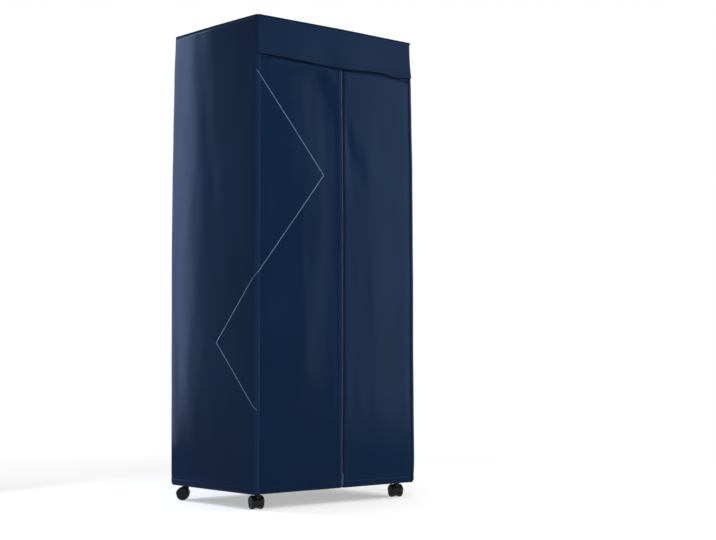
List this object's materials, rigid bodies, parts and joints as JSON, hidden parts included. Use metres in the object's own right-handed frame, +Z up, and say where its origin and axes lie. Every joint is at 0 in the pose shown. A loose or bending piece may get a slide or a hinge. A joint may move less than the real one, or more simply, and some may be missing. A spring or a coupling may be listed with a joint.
{
  "type": "clothes drying cabinet",
  "caption": "Wheeled clothes dryer: a chromed tube frame with hanging bars, a round fan heater on the bottom bars and a navy cloth cover with zipped doors.",
  "frame": {"origin": "on the floor under the middle of the cabinet", "axes": "+Z up, -Y towards the doors (the front), +X to the right of someone who faces the doors"},
  "size_m": [0.72, 0.512, 1.66],
  "materials": {
    "bracket_plastic": "moulded",
    "chromed_tube": "polished",
    "bright_steel": "zinc plated",
    "caster_nylon": "moulded",
    "heater_white": "satin",
    "heater_black": "moulded",
    "smoked_window": "polished",
    "button_grey": "moulded",
    "board_green": "lacquered",
    "element_aluminium": "milled",
    "cover_cloth": "coated polyester",
    "zip_nylon": "coil",
    "zip_metal": "painted"
  },
  "bodies": {
    "frame": {"bottom_bracket_left": "bracket_plastic", "bottom_bracket_right": "bracket_plastic", "bottom_bars": "chromed_tube", "lower_bracket_left": "bracket_plastic", "lower_bracket_right": "bracket_plastic", "lower_bars": "chromed_tube", "upper_bracket_left": "bracket_plastic", "upper_bracket_right": "bracket_plastic", "upper_bars": "chromed_tube", "top_bracket_left": "bracket_plastic", "top_bracket_right": "bracket_plastic", "top_bars": "chromed_tube", "front_left_post": "chromed_tube", "front_right_post": "chromed_tube", "rear_left_post": "chromed_tube", "rear_right_post": "chromed_tube", "caster_stems": "bright_steel"},
    "front_left_caster": {"front_left_caster_hood": "caster_nylon", "front_left_caster_axle": "bright_steel"},
    "front_left_wheel_a": {"front_left_wheel_a": "caster_nylon"},
    "front_left_wheel_b": {"front_left_wheel_b": "caster_nylon"},
    "front_right_caster": {"front_right_caster_hood": "caster_nylon", "front_right_caster_axle": "bright_steel"},
    "front_right_wheel_a": {"front_right_wheel_a": "caster_nylon"},
    "front_right_wheel_b": {"front_right_wheel_b": "caster_nylon"},
    "rear_left_caster": {"rear_left_caster_hood": "caster_nylon", "rear_left_caster_axle": "bright_steel"},
    "rear_left_wheel_a": {"rear_left_wheel_a": "caster_nylon"},
    "rear_left_wheel_b": {"rear_left_wheel_b": "caster_nylon"},
    "rear_right_caster": {"rear_right_caster_hood": "caster_nylon", "rear_right_caster_axle": "bright_steel"},
    "rear_right_wheel_a": {"rear_right_wheel_a": "caster_nylon"},
    "rear_right_wheel_b": {"rear_right_wheel_b": "caster_nylon"},
    "heater": {"heater_shell": "heater_white", "heater_base": "heater_black", "outlet_grille": "heater_black", "outlet_cap": "heater_black", "control_panel": "heater_black", "display_window": "smoked_window", "control_board": "board_green", "fan_motor": "bright_steel", "element_carrier": "heater_black", "heating_element": "element_aluminium", "front_bar_clip": "heater_black", "rear_bar_clip": "heater_black", "power_inlet": "heater_black"},
    "fan": {"fan_impeller": "heater_black"},
    "power_button": {"power_button": "button_grey"},
    "timer_button": {"timer_button": "button_grey"},
    "cover": {"cover_top": "cover_cloth", "cover_back": "cover_cloth", "cover_left_side": "cover_cloth", "cover_right_side": "cover_cloth", "cover_header": "cover_cloth"},
    "valance": {"valance": "cover_cloth"},
    "left_door": {"left_door": "cover_cloth", "zip_chain": "zip_nylon"},
    "right_door": {"right_door": "cover_cloth"},
    "zip_slider": {"zip_slider": "zip_metal"},
    "zip_pull": {"zip_pull": "zip_metal"}
  },
  "joints": [
    {"name": "front_left_swivel", "type": "hinge", "parent": "frame", "child": "front_left_caster", "pos_m": [-0.316, -0.208, 0.04], "axis": [0, 0, 1], "continuous": true},
    {"name": "front_left_roll_a", "type": "hinge", "parent": "front_left_caster", "child": "front_left_wheel_a", "pos_m": [-0.31229, -0.19659, 0.022], "axis": [-0.9511, 0.309, 0], "continuous": true},
    {"name": "front_left_roll_b", "type": "hinge", "parent": "front_left_caster", "child": "front_left_wheel_b", "pos_m": [-0.31229, -0.19659, 0.022], "axis": [-0.9511, 0.309, 0], "continuous": true},
    {"name": "front_right_swivel", "type": "hinge", "parent": "frame", "child": "front_right_caster", "pos_m": [0.316, -0.208, 0.04], "axis": [0, 0, 1], "continuous": true},
    {"name": "front_right_roll_a", "type": "hinge", "parent": "front_right_caster", "child": "front_right_wheel_a", "pos_m": [0.31991, -0.19665, 0.022], "axis": [-0.9455, 0.3256, 0], "continuous": true},
    {"name": "front_right_roll_b", "type": "hinge", "parent": "front_right_caster", "child": "front_right_wheel_b", "pos_m": [0.31991, -0.19665, 0.022], "axis": [-0.9455, 0.3256, 0], "continuous": true},
    {"name": "rear_left_swivel", "type": "hinge", "parent": "frame", "child": "rear_left_caster", "pos_m": [-0.316, 0.208, 0.04], "axis": [0, 0, 1], "continuous": true},
    {"name": "rear_left_roll_a", "type": "hinge", "parent": "rear_left_caster", "child": "rear_left_wheel_a", "pos_m": [-0.32506, 0.21587, 0.022], "axis": [-0.6561, -0.7547, 0], "continuous": true},
    {"name": "rear_left_roll_b", "type": "hinge", "parent": "rear_left_caster", "child": "rear_left_wheel_b", "pos_m": [-0.32506, 0.21587, 0.022], "axis": [-0.6561, -0.7547, 0], "continuous": true},
    {"name": "rear_right_swivel", "type": "hinge", "parent": "frame", "child": "rear_right_caster", "pos_m": [0.316, 0.208, 0.04], "axis": [0, 0, 1], "continuous": true},
    {"name": "rear_right_roll_a", "type": "hinge", "parent": "rear_right_caster", "child": "rear_right_wheel_a", "pos_m": [0.3119, 0.19672, 0.022], "axis": [0.9397, -0.342, 0], "continuous": true},
    {"name": "rear_right_roll_b", "type": "hinge", "parent": "rear_right_caster", "child": "rear_right_wheel_b", "pos_m": [0.3119, 0.19672, 0.022], "axis": [0.9397, -0.342, 0], "continuous": true},
    {"name": "heater_lift", "type": "slide", "parent": "frame", "child": "heater", "axis": [0, 0, 1], "range_m": [0, 0.25]},
    {"name": "fan_spin", "type": "hinge", "parent": "heater", "child": "fan", "pos_m": [0, 0, 0.156], "axis": [0, 0, 1], "continuous": true},
    {"name": "power_press", "type": "slide", "parent": "heater", "child": "power_button", "axis": [0, 1, 0], "range_m": [0, 0.0012], "stiffness_N_per_m": 400},
    {"name": "timer_press", "type": "slide", "parent": "heater", "child": "timer_button", "axis": [0, 1, 0], "range_m": [0, 0.0012], "stiffness_N_per_m": 400},
    {"name": "cover_lift", "type": "slide", "parent": "frame", "child": "cover", "axis": [0, 0, 1], "range_m": [0, 1.75]},
    {"name": "valance_lift", "type": "hinge", "parent": "cover", "child": "valance", "pos_m": [0, -0.256, 1.66], "axis": [-1, 0, 0], "range_deg": [0, 175]},
    {"name": "left_door_swing", "type": "hinge", "parent": "cover", "child": "left_door", "pos_m": [-0.34, -0.251, 0.78], "axis": [0, 0, -1], "range_deg": [0, 170]},
    {"name": "right_door_swing", "type": "hinge", "parent": "cover", "child": "right_door", "pos_m": [0.34, -0.251, 0.78], "axis": [0, 0, 1], "range_deg": [0, 170]},
    {"name": "zip_slide", "type": "slide", "parent": "left_door", "child": "zip_slider", "axis": [0, 0, 1], "range_m": [0, 1.383]},
    {"name": "zip_pull_swing", "type": "hinge", "parent": "zip_slider", "child": "zip_pull", "pos_m": [0.018, -0.2537, 0.098], "axis": [-1, 0, 0], "range_deg": [0, 150]}
  ]
}
